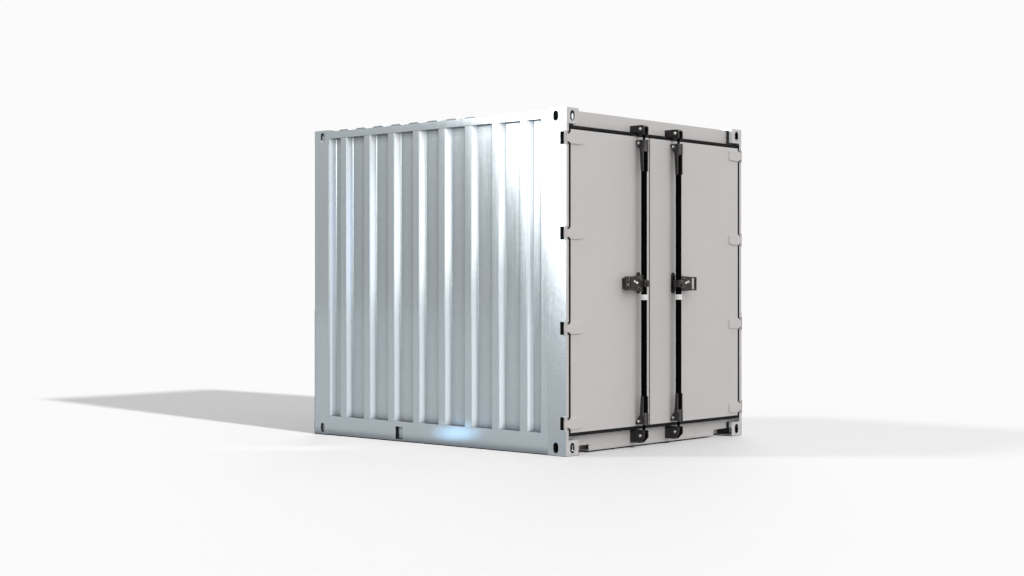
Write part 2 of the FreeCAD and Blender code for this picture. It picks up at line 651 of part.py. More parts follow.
def top_keeper(bar):
    """Fork on the header that receives the upper neck."""
    height = (TOP_KEEPER_BOTTOM, TOP_KEEPER_TOP)
    side = (bar - KEEPER_WIDE / 2, bar + KEEPER_WIDE / 2)
    outline = [(HEADER_RECESS, height[0] + KEEPER_ROUND), (HEADER_RECESS, height[1]),
               (-KEEPER_FRONT + KEEPER_ROUND, height[1]), (-KEEPER_FRONT, height[1] - KEEPER_ROUND),
               (-KEEPER_FRONT, height[0]), (0, height[0])]
    return crosswise(outline, side).cut(keeper_fork(bar, (height[0], height[1] - KEEPER_CAP)))


def bottom_keeper(bar):
    """Fork on the sill that receives the lower neck."""
    height = (BOTTOM_KEEPER_ROOT, BOTTOM_KEEPER_TOP)
    side = (bar - KEEPER_WIDE / 2, bar + KEEPER_WIDE / 2)
    outline = [(HEADER_RECESS, BOTTOM_KEEPER_ROOT), (HEADER_RECESS, BOTTOM_KEEPER_TOP),
               (-KEEPER_FRONT, BOTTOM_KEEPER_TOP),
               (-KEEPER_FRONT, BOTTOM_KEEPER_TIP), (-BAR_PROUD + BAR_RADIUS, BOTTOM_KEEPER_ROOT)]
    return crosswise(outline, side).cut(keeper_fork(bar, height))


def header_seal():
    """Seal strip under the header, in three runs between the keepers."""
    strip = box((SEAL_FRONT + PLATE, SEAL_FRONT + SEAL_DEEP),
                (DOOR_FLANGE_WIDE, WIDTH - DOOR_FLANGE_WIDE),
                (HEADER_BOTTOM - HEADER_SEAL, HEADER_BOTTOM))
    height = (HEADER_BOTTOM - HEADER_SEAL, HEADER_BOTTOM)
    gaps = []
    for bar in (LEFT_BAR_SIDE, WIDTH - RIGHT_BAR_SIDE):
        gaps.append(box((0, HEADER_RECESS), (bar - KEEPER_WIDE / 2, bar + KEEPER_WIDE / 2), height))
    return strip.cut(gaps)


# ---------------------------------------------------------------- assembly
def door_nodes(name, end, bar, seam):
    """Every piece of one door and its gear, drawn as a left-hand door."""
    return {
        "leaf_panel_" + name: leaf_panel(end),
        "leaf_frame_" + name: leaf_frame(end),
        "leaf_seal_" + name: leaf_seal(end, seam),
        "hinge_blades_" + name: hinge_blades(),
        "bar_guides_" + name: bar_guides(bar),
        "handle_backplate_" + name: backplate(bar),
        "locking_bar_" + name: locking_bar(bar),
        "bar_collar_" + name: bar_collar(bar),
        "handle_" + name: handle(bar),
    }


nodes = {}
for rear, end_name in ((False, "door"), (True, "rear")):
    for upper, level in ((True, "top"), (False, "bottom")):
        fitting = casting(rear, upper)
        nodes["casting_" + end_name + "_left_" + level] = fitting
        nodes["casting_" + end_name + "_right_" + level] = mirrored(fitting)
for stem, piece in (("door_post", door_post()), ("rear_post", rear_post()),
                    ("rail_bottom", bottom_rail()), ("rail_top", top_rail()),
                    ("wall", side_wall())):
    nodes[stem + "_left"] = piece
    nodes[stem + "_right"] = mirrored(piece)
pins = Part.makeCompound([hinge_pin(middle) for middle in hinge_heights()])
nodes["hinge_pins_left"] = pins
nodes["hinge_pins_right"] = mirrored(pins)
nodes["door_header"] = header()
nodes["header_lip"] = header_lip()
nodes["door_sill"] = sill()
nodes["door_threshold"] = threshold()
nodes["sill_end_plates"] = Part.makeCompound([sill_end_plate(), mirrored(sill_end_plate())])
nodes["rail_top_rear"] = rear_beam((UPPER_CASTING_BOTTOM, TOP_RAIL_TOP))
nodes["rail_bottom_rear"] = rear_beam((GROUND_GAP, CASTING_HIGH))
nodes["rear_head_seat"] = rear_seat((REAR_TOP_RAIL_BOTTOM, UPPER_CASTING_BOTTOM))
nodes["rear_floor_seat"] = rear_seat((CASTING_HIGH, BOTTOM_RAIL_TOP))
nodes["wall_rear"] = rear_wall()
nodes["roof"] = roof()
nodes["cross_members"] = cross_members()
nodes["floor_boards"] = floor_boards()
nodes["header_seal"] = header_seal()
nodes["keepers_top"] = Part.makeCompound([top_keeper(LEFT_BAR_SIDE), mirrored(top_keeper(RIGHT_BAR_SIDE))])
nodes["keepers_bottom"] = Part.makeCompound([bottom_keeper(LEFT_BAR_SIDE),
                                             mirrored(bottom_keeper(RIGHT_BAR_SIDE))])
nodes.update(door_nodes("left", LEFT_LEAF_END, LEFT_BAR_SIDE, SEAM_SEAL))
for key, piece in door_nodes("right", RIGHT_LEAF_END, RIGHT_BAR_SIDE, 0.0).items():
    nodes[key] = mirrored(piece)

os.makedirs("parts", exist_ok=True)
for key, piece in nodes.items():
    solids = piece.Solids
    if not solids or not all(solid.isValid() for solid in solids):
        raise ValueError("bad solid in " + key)
    piece.exportStep("parts/" + key + ".step")
    box_of = piece.BoundBox
    print(key, len(solids), "solids", round(sum(s.Volume for s in solids) / 1e6, 3), "litres",
          [round(v, 1) for v in (box_of.XMin, box_of.YMin, box_of.ZMin, box_of.XMax, box_of.YMax, box_of.ZMax)])
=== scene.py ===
"""Looks for the short steel shipping container: materials, rounded edges, fasteners and studio."""
import bmesh
import bpy
import json
import math
import random
from mathutils import Matrix, Vector
from mathutils.bvhtree import BVHTree

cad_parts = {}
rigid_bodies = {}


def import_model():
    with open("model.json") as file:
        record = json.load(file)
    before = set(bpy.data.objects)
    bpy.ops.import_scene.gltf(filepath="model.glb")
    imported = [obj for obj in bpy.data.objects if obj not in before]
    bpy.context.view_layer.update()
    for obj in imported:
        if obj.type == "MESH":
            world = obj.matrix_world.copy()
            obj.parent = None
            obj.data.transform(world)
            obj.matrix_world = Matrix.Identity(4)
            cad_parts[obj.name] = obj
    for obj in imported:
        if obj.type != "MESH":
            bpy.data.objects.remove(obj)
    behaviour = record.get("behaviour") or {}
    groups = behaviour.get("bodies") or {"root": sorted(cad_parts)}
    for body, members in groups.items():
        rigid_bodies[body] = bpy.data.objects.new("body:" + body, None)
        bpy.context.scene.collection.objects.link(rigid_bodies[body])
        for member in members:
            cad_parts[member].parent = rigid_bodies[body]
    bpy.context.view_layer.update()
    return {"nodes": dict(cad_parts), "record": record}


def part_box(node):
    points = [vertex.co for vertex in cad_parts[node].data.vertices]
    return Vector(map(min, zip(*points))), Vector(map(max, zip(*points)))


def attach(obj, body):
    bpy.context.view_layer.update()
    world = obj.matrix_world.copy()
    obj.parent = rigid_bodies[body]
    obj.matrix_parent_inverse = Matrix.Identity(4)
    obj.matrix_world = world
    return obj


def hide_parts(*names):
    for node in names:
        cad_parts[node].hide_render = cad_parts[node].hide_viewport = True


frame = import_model()
nodes = frame["nodes"]


# ---------------------------------------------------------------- places read from the frame
def low_of(node):
    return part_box(node)[0]


def high_of(node):
    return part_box(node)[1]


near_foot = Vector((high_of("casting_door_left_bottom").x, low_of("casting_door_left_bottom").y, 0.0))
door_plane = near_foot.x
rear_plane = low_of("casting_rear_left_bottom").x
left_face = near_foot.y
right_face = high_of("casting_door_right_bottom").y
top_plane = high_of("casting_door_left_top").z
leaf_plane = high_of("leaf_panel_left").x
middle = Vector(((door_plane + rear_plane) / 2, (left_face + right_face) / 2, 0.0))


# ---------------------------------------------------------------- node helpers
def material_base(name):
    """A material with its Principled shader and the object coordinates."""
    made = bpy.data.materials.new(name)
    made.use_nodes = True
    tree = made.node_tree
    where = tree.nodes.new("ShaderNodeTexCoord").outputs["Object"]
    return made, tree, tree.nodes["Principled BSDF"], where


def feed(tree, socket, value):
    """Sets a socket to a number or a colour, or links it to another node's output."""
    if isinstance(value, float):
        socket.default_value = value
    elif isinstance(value, tuple):
        socket.default_value = value + (1.0,)
    else:
        tree.links.new(value, socket)


def stretched(tree, where, scale):
    node = tree.nodes.new("ShaderNodeMapping")
    node.inputs["Scale"].default_value = scale
    tree.links.new(where, node.inputs["Vector"])
    return node.outputs["Vector"]


def clouds(tree, where, scale, detail=3.0, rough=0.55):
    node = tree.nodes.new("ShaderNodeTexNoise")
    node.inputs["Scale"].default_value = scale
    node.inputs["Detail"].default_value = detail
    node.inputs["Roughness"].default_value = rough
    tree.links.new(where, node.inputs["Vector"])
    return node.outputs["Fac"]


def cells(tree, where, scale):
    """Patches, each with its own value between zero and one."""
    node = tree.nodes.new("ShaderNodeTexVoronoi")
    node.inputs["Scale"].default_value = scale
    tree.links.new(where, node.inputs["Vector"])
    split = tree.nodes.new("ShaderNodeSeparateColor")
    tree.links.new(node.outputs["Color"], split.inputs["Color"])
    return split.outputs["Red"]


def axes_of(tree, vector):
    node = tree.nodes.new("ShaderNodeSeparateXYZ")
    tree.links.new(vector, node.inputs["Vector"])
    return node.outputs


def spread(tree, value, low, high, to_low, to_high):
    """Maps a value from one range to another, held at the ends."""
    node = tree.nodes.new("ShaderNodeMapRange")
    node.inputs["From Min"].default_value = low
    node.inputs["From Max"].default_value = high
    node.inputs["To Min"].default_value = to_low
    node.inputs["To Max"].default_value = to_high
    tree.links.new(value, node.inputs["Value"])
    return node.outputs["Result"]


def math_of(tree, operation, first, second=0.0):
    node = tree.nodes.new("ShaderNodeMath")
    node.operation = operation
    feed(tree, node.inputs[0], first)
    feed(tree, node.inputs[1], second)
    return node.outputs["Value"]


def opposite(tree, mask):
    return math_of(tree, "SUBTRACT", 1.0, mask)


def past(tree, value, level):
    """One where a value is above a level, zero below it, with half a millimetre between."""
    half_step = 0.00025
    return spread(tree, value, level - half_step, level + half_step, 0.0, 1.0)


def blend_colours(tree, factor, first, second, kind="MIX"):
    node = tree.nodes.new("ShaderNodeMix")
    node.data_type = "RGBA"
    node.blend_type = kind
    node.clamp_factor = True
    feed(tree, node.inputs["Factor"], factor)
    for name, value in (("A", first), ("B", second)):
        feed(tree, next(s for s in node.inputs if s.name == name and s.type == "RGBA"), value)
    return next(s for s in node.outputs if s.type == "RGBA")


def washed(tree, tone, mask, low, high, most, colour):
    """Lays a colour over the tone as a mask runs from low to high, with most as its full strength."""
    return blend_colours(tree, spread(tree, mask, low, high, 0.0, most), tone, colour)


def bumped(tree, heights):
    """Chains bumps, each a height output and its depth in metres, and gives the normal."""
    normal = None
    for height, depth in heights:
        node = tree.nodes.new("ShaderNodeBump")
        node.inputs["Strength"].default_value = 1.0
        node.inputs["Distance"].default_value = depth
        tree.links.new(height, node.inputs["Height"])
        if normal is not None:
            tree.links.new(normal, node.inputs["Normal"])
        normal = node.outputs["Normal"]
    return normal


def dress(tree, shader, tone, rough, heights):
    """Links the colour, the roughness and the bumps to the shader."""
    tree.links.new(tone, shader.inputs["Base Color"])
    tree.links.new(rough, shader.inputs["Roughness"])
    tree.links.new(bumped(tree, heights), shader.inputs["Normal"])


def edge_mask(tree, radius):
    """One at convex and concave edges, zero on open faces."""
    round_off = tree.nodes.new("ShaderNodeBevel")
    round_off.samples = 4
    round_off.inputs["Radius"].default_value = radius
    plain = tree.nodes.new("ShaderNodeNewGeometry")
    dot = tree.nodes.new("ShaderNodeVectorMath")
    dot.operation = "DOT_PRODUCT"
    tree.links.new(round_off.outputs["Normal"], dot.inputs[0])
    tree.links.new(plain.outputs["Normal"], dot.inputs[1])
    return spread(tree, dot.outputs["Value"], 0.8, 0.995, 1.0, 0.0)


def rubbed(tree, mottle, radius, least, most):
    """Wear along the edges, stronger in some patches than in others."""
    return math_of(tree, "MULTIPLY", edge_mask(tree, radius), spread(tree, mottle, 0.4, 0.62, least, most))


def corner_shade(tree, reach):
    """Zero deep in inside corners, one on open faces."""
    node = tree.nodes.new("ShaderNodeAmbientOcclusion")
    node.samples = 8
    node.inputs["Distance"].default_value = reach
    return spread(tree, node.outputs["AO"], 0.55, 0.96, 0.0, 1.0)


# ---------------------------------------------------------------- materials
ZINC_DULL = (0.705, 0.775, 0.815)
ZINC_BRIGHT = (0.735, 0.80, 0.84)
SPANGLE_SCALE = 65.0
MOTTLE_SCALE = 22.0
DOOR_LIGHT = (0.622, 0.594, 0.580)
DOOR_DARK = (0.592, 0.565, 0.551)


def galvanised():
    """Bright zinc: soft spangle, long rolling marks, a slight waviness and painted shade that darkens the
    inside corners.
    """
    made, tree, shader, where = material_base("galvanised_sheet")
    spangle = cells(tree, where, SPANGLE_SCALE)
    large = clouds(tree, where, 1.7, 4.0)
    streak = clouds(tree, stretched(tree, where, (26.0, 26.0, 0.9)), 1.0, 4.0)
    fine = clouds(tree, where, 420.0, 2.0)
    tone = blend_colours(tree, spangle, ZINC_DULL, ZINC_BRIGHT)
    tone = washed(tree, tone, large, 0.35, 0.7, 0.5, (0.68, 0.76, 0.805))
    tone = washed(tree, tone, streak, 0.52, 0.78, 0.3, (0.65, 0.71, 0.745))
    # painted shade: the colour darkens to blue-grey deep in inside corners
    tone = blend_colours(tree, corner_shade(tree, 0.075), (0.24, 0.27, 0.30), tone)
    shader.inputs["Metallic"].default_value = 0.92
    rough = math_of(tree, "ADD", spread(tree, spangle, 0.0, 1.0, 0.10, 0.115),
                    spread(tree, streak, 0.3, 0.8, 0.0, 0.05))
    dress(tree, shader, tone, rough, [(large, 0.0010), (fine, 0.000007)])
    return made


def painted(name, light, dark, shine, rough, peel, wear, wear_most, edge=0.004):
    """Paint with slow colour drift, orange peel of a given depth, and edges rubbed to the wear colour."""
    made, tree, shader, where = material_base(name)
    slow = clouds(tree, where, 1.3, 3.0)
    mottle = clouds(tree, where, MOTTLE_SCALE, 5.0)
    fine = clouds(tree, where, 650.0, 2.0)
    drift = math_of(tree, "ADD", spread(tree, slow, 0.3, 0.7, 0.0, 0.6),
                    spread(tree, mottle, 0.35, 0.7, 0.0, 0.4))
    tone = blend_colours(tree, drift, dark, light)
    tone = blend_colours(tree, rubbed(tree, mottle, edge, wear_most * 0.35, wear_most), tone, wear)
    shader.inputs["Specular IOR Level"].default_value = shine
    dress(tree, shader, tone, spread(tree, mottle, 0.3, 0.7, rough - 0.05, rough + 0.06),
          [(mottle, peel * 6.0), (fine, peel)])
    return made


def rubber():
    made, tree, shader, where = material_base("seal_rubber")
    bloom = clouds(tree, where, 14.0, 4.0)
    pores = clouds(tree, where, 900.0, 3.0)
    tone = washed(tree, (0.006, 0.006, 0.006), bloom, 0.45, 0.75, 1.0, (0.016, 0.016, 0.017))
    shader.inputs["Specular IOR Level"].default_value = 0.25
    dress(tree, shader, tone, spread(tree, pores, 0.3, 0.7, 0.68, 0.88), [(pores, 0.00012)])
    return made


def moulded():
    made, tree, shader, where = material_base("collar_plastic")
    flow = clouds(tree, stretched(tree, where, (60.0, 60.0, 220.0)), 1.0, 4.0)
    fine = clouds(tree, where, 1200.0, 2.0)
    tone = washed(tree, (0.80, 0.79, 0.76), flow, 0.35, 0.7, 1.0, (0.90, 0.895, 0.88))
    shader.inputs["Subsurface Weight"].default_value = 0.08
    shader.inputs["Subsurface Radius"].default_value = (0.004, 0.003, 0.002)
    dress(tree, shader, tone, spread(tree, flow, 0.3, 0.7, 0.32, 0.42), [(fine, 0.00004)])
    return made


def bare_steel():
    made, tree, shader, where = material_base("pin_steel")
    turned = clouds(tree, stretched(tree, where, (120.0, 120.0, 1500.0)), 1.0, 3.0)
    blotch = clouds(tree, where, 45.0, 5.0)
    tone = washed(tree, (0.60, 0.60, 0.60), blotch, 0.4, 0.7, 1.0, (0.42, 0.41, 0.40))
    shader.inputs["Metallic"].default_value = 1.0
    dress(tree, shader, tone, spread(tree, blotch, 0.3, 0.7, 0.28, 0.46), [(turned, 0.00003)])
    return made


def boarding():
    """Hardwood ply floor: grain along the container, darker pores, worn varnish."""
    made, tree, shader, where = material_base("floor_wood")
    grain = clouds(tree, stretched(tree, where, (3.0, 95.0, 95.0)), 1.0, 6.0, 0.65)
    pores = clouds(tree, stretched(tree, where, (30.0, 900.0, 900.0)), 1.0, 3.0)
    board = cells(tree, stretched(tree, where, (0.28, 2.25, 0.1)), 1.0)
    scuff = clouds(tree, where, 7.0, 6.0)
    tone = washed(tree, (0.19, 0.095, 0.045), grain, 0.3, 0.7, 1.0, (0.36, 0.215, 0.115))
    tone = washed(tree, tone, board, 0.0, 1.0, 0.4, (0.16, 0.08, 0.04))
    tone = washed(tree, tone, pores, 0.56, 0.72, 0.5, (0.07, 0.035, 0.02))
    tone = washed(tree, tone, scuff, 0.55, 0.8, 0.35, (0.40, 0.33, 0.27))
    dress(tree, shader, tone, spread(tree, scuff, 0.3, 0.7, 0.38, 0.62), [(grain, 0.0004), (pores, 0.0003)])
    return made


def frame_finish_with_painted_shade(name, side_depth, most_depth, end_depth, rim):
    """Zinc on the side faces and light paint on the door end, with painted shade: near-black laid inside the
    recesses.

    A spot is in a recess when it lies deeper than side_depth behind the side face and end_depth
    behind the door end, but not past most_depth, and farther than rim from the top and the foot.
    """
    made, tree, shader, where = material_base(name)
    spangle = cells(tree, where, SPANGLE_SCALE)
    large = clouds(tree, where, 1.7, 4.0)
    mottle = clouds(tree, where, MOTTLE_SCALE, 5.0)
    fine = clouds(tree, where, 500.0, 2.0)
    facing = axes_of(tree, tree.nodes.new("ShaderNodeTexCoord").outputs["Normal"])
    coated = spread(tree, facing["X"], 0.35, 0.6, 0.0, 1.0)
    zinc_tone = blend_colours(tree, spangle, ZINC_DULL, ZINC_BRIGHT)
    paint_tone = washed(tree, DOOR_DARK, mottle, 0.35, 0.7, 1.0, DOOR_LIGHT)
    tone = blend_colours(tree, coated, zinc_tone, paint_tone)
    tone = blend_colours(tree, rubbed(tree, mottle, 0.004, 0.1, 0.35), tone, (0.62, 0.62, 0.61))
    spot = axes_of(tree, where)
    behind_side = math_of(tree, "SUBTRACT", right_face, math_of(tree, "ABSOLUTE", spot["Y"]))
    behind_end = math_of(tree, "SUBTRACT", door_plane, spot["X"])
    from_middle = math_of(tree, "ABSOLUTE", math_of(tree, "SUBTRACT", spot["Z"], top_plane / 2))
    recess = past(tree, behind_side, side_depth)
    for mask in (past(tree, behind_end, end_depth),
                 opposite(tree, past(tree, behind_side, most_depth)),
                 opposite(tree, past(tree, from_middle, top_plane / 2 - rim))):
        recess = math_of(tree, "MULTIPLY", recess, mask)
    # painted shade: the recesses are coloured near black and lose their metal
    tone = blend_colours(tree, recess, tone, (0.010, 0.010, 0.010))
    bare = math_of(tree, "MULTIPLY", opposite(tree, coated), opposite(tree, recess))
    tree.links.new(bare, shader.inputs["Metallic"])
    rough = math_of(tree, "ADD", spread(tree, spangle, 0.0, 1.0, 0.13, 0.15),
                    spread(tree, coated, 0.0, 1.0, 0.0, 0.36))
    dress(tree, shader, tone, rough, [(large, 0.0006), (mottle, 0.0001), (fine, 0.000012)])
    return made


zinc = galvanised()
post_finish = frame_finish_with_painted_shade("post_finish", side_depth=0.0015, most_depth=0.0235, end_depth=0.0015, rim=0.12)
casting_finish = frame_finish_with_painted_shade("casting_finish", side_depth=0.003, most_depth=0.2, end_depth=0.026, rim=0.014)
door_paint = painted("door_paint", DOOR_LIGHT, DOOR_DARK, shine=0.35, rough=0.5, peel=0.00003,
                     wear=(0.66, 0.655, 0.645), wear_most=0.35)
underframe = painted("underframe_paint", (0.075, 0.076, 0.078), (0.045, 0.046, 0.048), shine=0.4, rough=0.58,
                     peel=0.00008, wear=(0.16, 0.15, 0.14), wear_most=0.6)
bar_paint = painted("bar_paint", (0.0022, 0.0022, 0.0023), (0.0012, 0.0012, 0.0012), shine=0.02, rough=0.78,
                    peel=0.00003, wear=(0.008, 0.008, 0.008), wear_most=0.4, edge=0.002)
gear_paint = painted("gear_paint", (0.0070, 0.0058, 0.0052), (0.0035, 0.0029, 0.0026), shine=0.5, rough=0.22,
                     peel=0.00010, wear=(0.17, 0.16, 0.15), wear_most=0.8, edge=0.0025)
SLOT_FINISH = {
    "galvanised_sheet": zinc, "cast_steel": casting_finish, "door_paint": door_paint,
    "underframe_paint": underframe, "floor_wood": boarding(), "seal_rubber": rubber(),
    "collar_plastic": moulded(), "bar_paint": bar_paint, "gear_paint": gear_paint, "pin_steel": bare_steel(),
}


# ---------------------------------------------------------------- pieces from CAD shapes
def strip_width(face):
    """Rough width of a face, so that thin plate edges are left sharp."""
    around = sum(edge.calc_length() for edge in face.edges)
    return 2.0 * face.calc_area() / around if around else 0.0


def add_piece(name, mesh, body, slot, finish=None):
    """The mesh as a piece on a body, in the finish of its slot unless another is given."""
    piece = bpy.data.objects.new(name, mesh)
    bpy.context.scene.collection.objects.link(piece)
    mesh.materials.clear()
    mesh.materials.append(finish or SLOT_FINISH[slot])
    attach(piece, body)
    return piece


def turned_edge(edge):
    """The angle between an edge's two faces, in degrees from flat."""
    return math.degrees(edge.calc_face_angle(0.0))


def round_edges(work, edges, width, steps):
    bmesh.ops.bevel(work, geom=edges, offset=width, offset_type="OFFSET", segments=steps,
                    profile=0.5, affect="EDGES", clamp_overlap=True)
    bmesh.ops.recalc_face_normals(work, faces=work.faces)


def finished_mesh(name, work, crease):
    """Mesh from a bmesh: smooth, with edges sharper than the crease kept sharp."""
    for face in work.faces:
        face.smooth = True
    for edge in work.edges:
        edge.smooth = len(edge.link_faces) == 2 and turned_edge(edge) < crease
    mesh = bpy.data.meshes.new(name)
    work.to_mesh(mesh)
    work.free()
    return mesh


def softened(node, body, finish, slot, width, steps=2, least=28.0, most=180.0):
    """The CAD shape with its edges rounded, standing for the node.

    Edges that turn by least to most degrees are rounded, where both faces have room for it.
    """
    merge_distance = 1e-5
    flat_angle = math.radians(0.4)
    room = 2.1 * width
    work = bmesh.new()
    work.from_mesh(nodes[node].data)
    bmesh.ops.remove_doubles(work, verts=work.verts, dist=merge_distance)
    bmesh.ops.dissolve_limit(work, angle_limit=flat_angle, verts=work.verts, edges=work.edges)
    chosen = [edge for edge in work.edges
              if len(edge.link_faces) == 2 and least <= turned_edge(edge) <= most
              and min(strip_width(face) for face in edge.link_faces) >= room]
    round_edges(work, chosen, width, steps)
    mesh = finished_mesh(node + "_rounded", work, 50.0)
    piece = add_piece(node + "_rounded", mesh, body, slot, finish)
    weigh = piece.modifiers.new("even_shading", "WEIGHTED_NORMAL")
    weigh.keep_sharp = True
    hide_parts(node)


body_of = {member: body for body, members in frame["record"]["behaviour"]["bodies"].items()
           for member in members}
slot_of = {part["node"]: part["material_slot"] for part in frame["record"]["subparts"]}

# width of the rounding, by the start of the node's name; the first that fits counts
ROUNDING = {"casting_": 0.006, "door_post_": 0.003, "rear_post_": 0.003, "door_header": 0.003,
            "door_sill": 0.003, "rail_bottom_": 0.0028, "rail_top_": 0.003, "leaf_frame_": 0.002,
            "hinge_blades_": 0.0016, "keepers_": 0.005, "bar_guides_": 0.0028,
            "handle_backplate_": 0.003, "handle_": 0.0026, "bar_collar_": 0.002}
# corrugated sheets: only the bends are rounded
SHEETS = {"wall_left": 0.0035, "wall_right": 0.0035, "wall_rear": 0.0035, "roof": 0.006}
BEND_STEPS, BEND_LEAST, BEND_MOST = 3, 12.0, 75.0

for node, item in sorted(nodes.items()):
    slot = slot_of[node]
    finish = SLOT_FINISH[slot]
    if node.startswith("door_post_"):
        finish = post_finish
    elif node.startswith("casting_rear_"):
        finish = zinc
    item.data.materials.clear()
    item.data.materials.append(finish)
    if node in SHEETS:
        softened(node, body_of[node], finish, slot, SHEETS[node], BEND_STEPS, BEND_LEAST, BEND_MOST)
        continue
    for stem, width in ROUNDING.items():
        if node.startswith(stem):
            softened(node, body_of[node], finish, slot, width)
            break


# ---------------------------------------------------------------- fasteners
random.seed(11)


def bolt_heads(name, spots, outward, radius, body, slot):
    """Hex heads on round washers, with thread ends, as one piece; each spot is the middle of a seat."""
    work = bmesh.new()
    upright = Vector((0.0, 0.0, 1.0)).rotation_difference(outward).to_matrix().to_4x4()
    sink = 0.0005
    washer = radius * 0.22
    head = radius * 0.72
    thread = radius * 0.3
    # sides, radius, start above the seat and height of each layer
    layers = ((28, radius * 1.5, -sink, washer + sink), (6, radius, washer, head),
              (20, radius * 0.52, washer + head, thread))
    for spot in spots:
        twist = Matrix.Rotation(random.uniform(0.0, math.pi), 4, "Z")
        for sides, wide, start, high in layers:
            raised = Matrix.Translation((0.0, 0.0, start + high / 2))
            place = Matrix.Translation(spot) @ upright @ twist @ raised
            bmesh.ops.create_cone(work, cap_ends=True, segments=sides, radius1=wide, radius2=wide * 0.95,
                                  depth=high, matrix=place)
    round_edges(work, [edge for edge in work.edges if turned_edge(edge) > 40.0], radius * 0.07, 2)
    return add_piece(name, finished_mesh(name, work, 40.0), body, slot)


def rounded_block(name, low, high, width, body, slot):
    """A block with all its edges rounded, between two corners."""
    work = bmesh.new()
    size = high - low
    scale = Matrix.Diagonal((size.x, size.y, size.z, 1.0))
    bmesh.ops.create_cube(work, size=1.0, matrix=Matrix.Translation((low + high) / 2) @ scale)
    round_edges(work, list(work.edges), width, 4)
    return add_piece(name, finished_mesh(name, work, 40.0), body, slot)


LOOK_OUT = Vector((1.0, 0.0, 0.0))
TO_LEFT = Vector((0.0, -1.0, 0.0))
PLATE_BOLT, GUIDE_BOLT, ROOT_BOLT, SMALL_BOLT = 0.011, 0.009, 0.010, 0.0075
GUSSET_SIDE = 0.030         # guide bolts: beside the bar's axis,
GUSSET_BOLT_OUT = 0.027     # out from the leaves,
GUSSET_BOLT_IN = 0.024      # and in from the ends of the guides
LEVER_HALF = 0.006
LEVER_BOLTS = ((0.096, 0.004), (0.126, 0.014))      # out along the lever, up from its middle
LEVER_ROOT = 0.066
LEVER_ROOT_RISES = (0.036, -0.036)

gear = []
for side, inward_y in (("left", 1.0), ("right", -1.0)):
    door, bar = side + "_door", side + "_bar"
    bar_low, bar_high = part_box("locking_bar_" + side)
    axis_y = (bar_low.y + bar_high.y) / 2
    guide_low, guide_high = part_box("bar_guides_" + side)
    plate_low, plate_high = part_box("handle_backplate_" + side)
    hub_z = (low_of("handle_" + side).z + high_of("handle_" + side).z) / 2
    ear = plate_high.y - axis_y
    lever_front = (bar_low.x + bar_high.x) / 2 + LEVER_HALF
    gear += [
        bolt_heads("backplate_bolts_" + side,
                   [Vector((plate_high.x, axis_y, z)) for z in (plate_low.z + ear, plate_high.z - ear)],
                   LOOK_OUT, PLATE_BOLT, door, "gear_paint"),
        bolt_heads("guide_bolts_" + side,
                   [Vector((leaf_plane + GUSSET_BOLT_OUT, axis_y - GUSSET_SIDE, z))
                    for z in (guide_high.z - GUSSET_BOLT_IN, guide_low.z + GUSSET_BOLT_IN)],
                   TO_LEFT, GUIDE_BOLT, door, "pin_steel"),
        bolt_heads("lever_bolts_" + side,
                   [Vector((lever_front, axis_y - inward_y * along, hub_z + rise))
                    for along, rise in LEVER_BOLTS],
                   LOOK_OUT, SMALL_BOLT, bar, "pin_steel"),
        bolt_heads("lever_root_bolts_" + side,
                   [Vector((lever_front, axis_y - inward_y * LEVER_ROOT, hub_z + rise))
                    for rise in LEVER_ROOT_RISES],
                   LOOK_OUT, ROOT_BOLT, bar, "gear_paint"),
    ]

# catch block on the left leaf, behind the loop of the handle
CATCH_SIZE = Vector((0.030, 0.050, 0.090))
CATCH_FROM_LOOP_END = 0.036
CATCH_SINK = 0.0004
CATCH_BOLTS = (Vector((CATCH_SIZE.x, 0.017, 0.068)), Vector((CATCH_SIZE.x, 0.034, 0.034)))
handle_low, handle_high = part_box("handle_left")
catch_low = Vector((leaf_plane - CATCH_SINK, handle_low.y + CATCH_FROM_LOOP_END,
                    (handle_low.z + handle_high.z) / 2 - CATCH_SIZE.z / 2))
gear += [
    rounded_block("handle_catch_left", catch_low, catch_low + CATCH_SIZE, 0.005, "left_door", "gear_paint"),
    bolt_heads("handle_catch_bolts_left", [catch_low + bolt for bolt in CATCH_BOLTS],
               LOOK_OUT, SMALL_BOLT, "left_door", "pin_steel"),
]

FORK_WIDE = 0.060
KEEPER_BOLT_OUT, KEEPER_BOLT_RISE = 0.045, 0.008
for level in ("top", "bottom"):
    keeper_low, keeper_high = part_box("keepers_" + level)
    bolt_z = (keeper_low.z + keeper_high.z) / 2 + KEEPER_BOLT_RISE
    gear.append(bolt_heads("keeper_bolts_" + level,
                           [Vector((leaf_plane + KEEPER_BOLT_OUT, fork_y, bolt_z))
                            for fork_y in (keeper_low.y, keeper_high.y - FORK_WIDE)],
                           TO_LEFT, GUIDE_BOLT, "container", "pin_steel"))


# ---------------------------------------------------------------- closing plates
def ridge_heights(edge_y, inward_y, step):
    """Height of the roof sheet's underside over the top rail, by place along the container."""
    shape = bmesh.new()
    shape.from_mesh(nodes["roof"].data)
    sheet = BVHTree.FromBMesh(shape)
    shape.free()
    seat = high_of("rail_top_left").z
    start, end = low_of("roof").x, high_of("roof").x
    upward = Vector((0.0, 0.0, 1.0))
    heights = {}
    for index in range(int((end - start) / step)):
        along = start + index * step
        spot = sheet.ray_cast(Vector((along, edge_y + inward_y * 0.002, seat + 0.0002)), upward)[0]
        heights[along] = spot.z - seat if spot else 0.0
    return heights


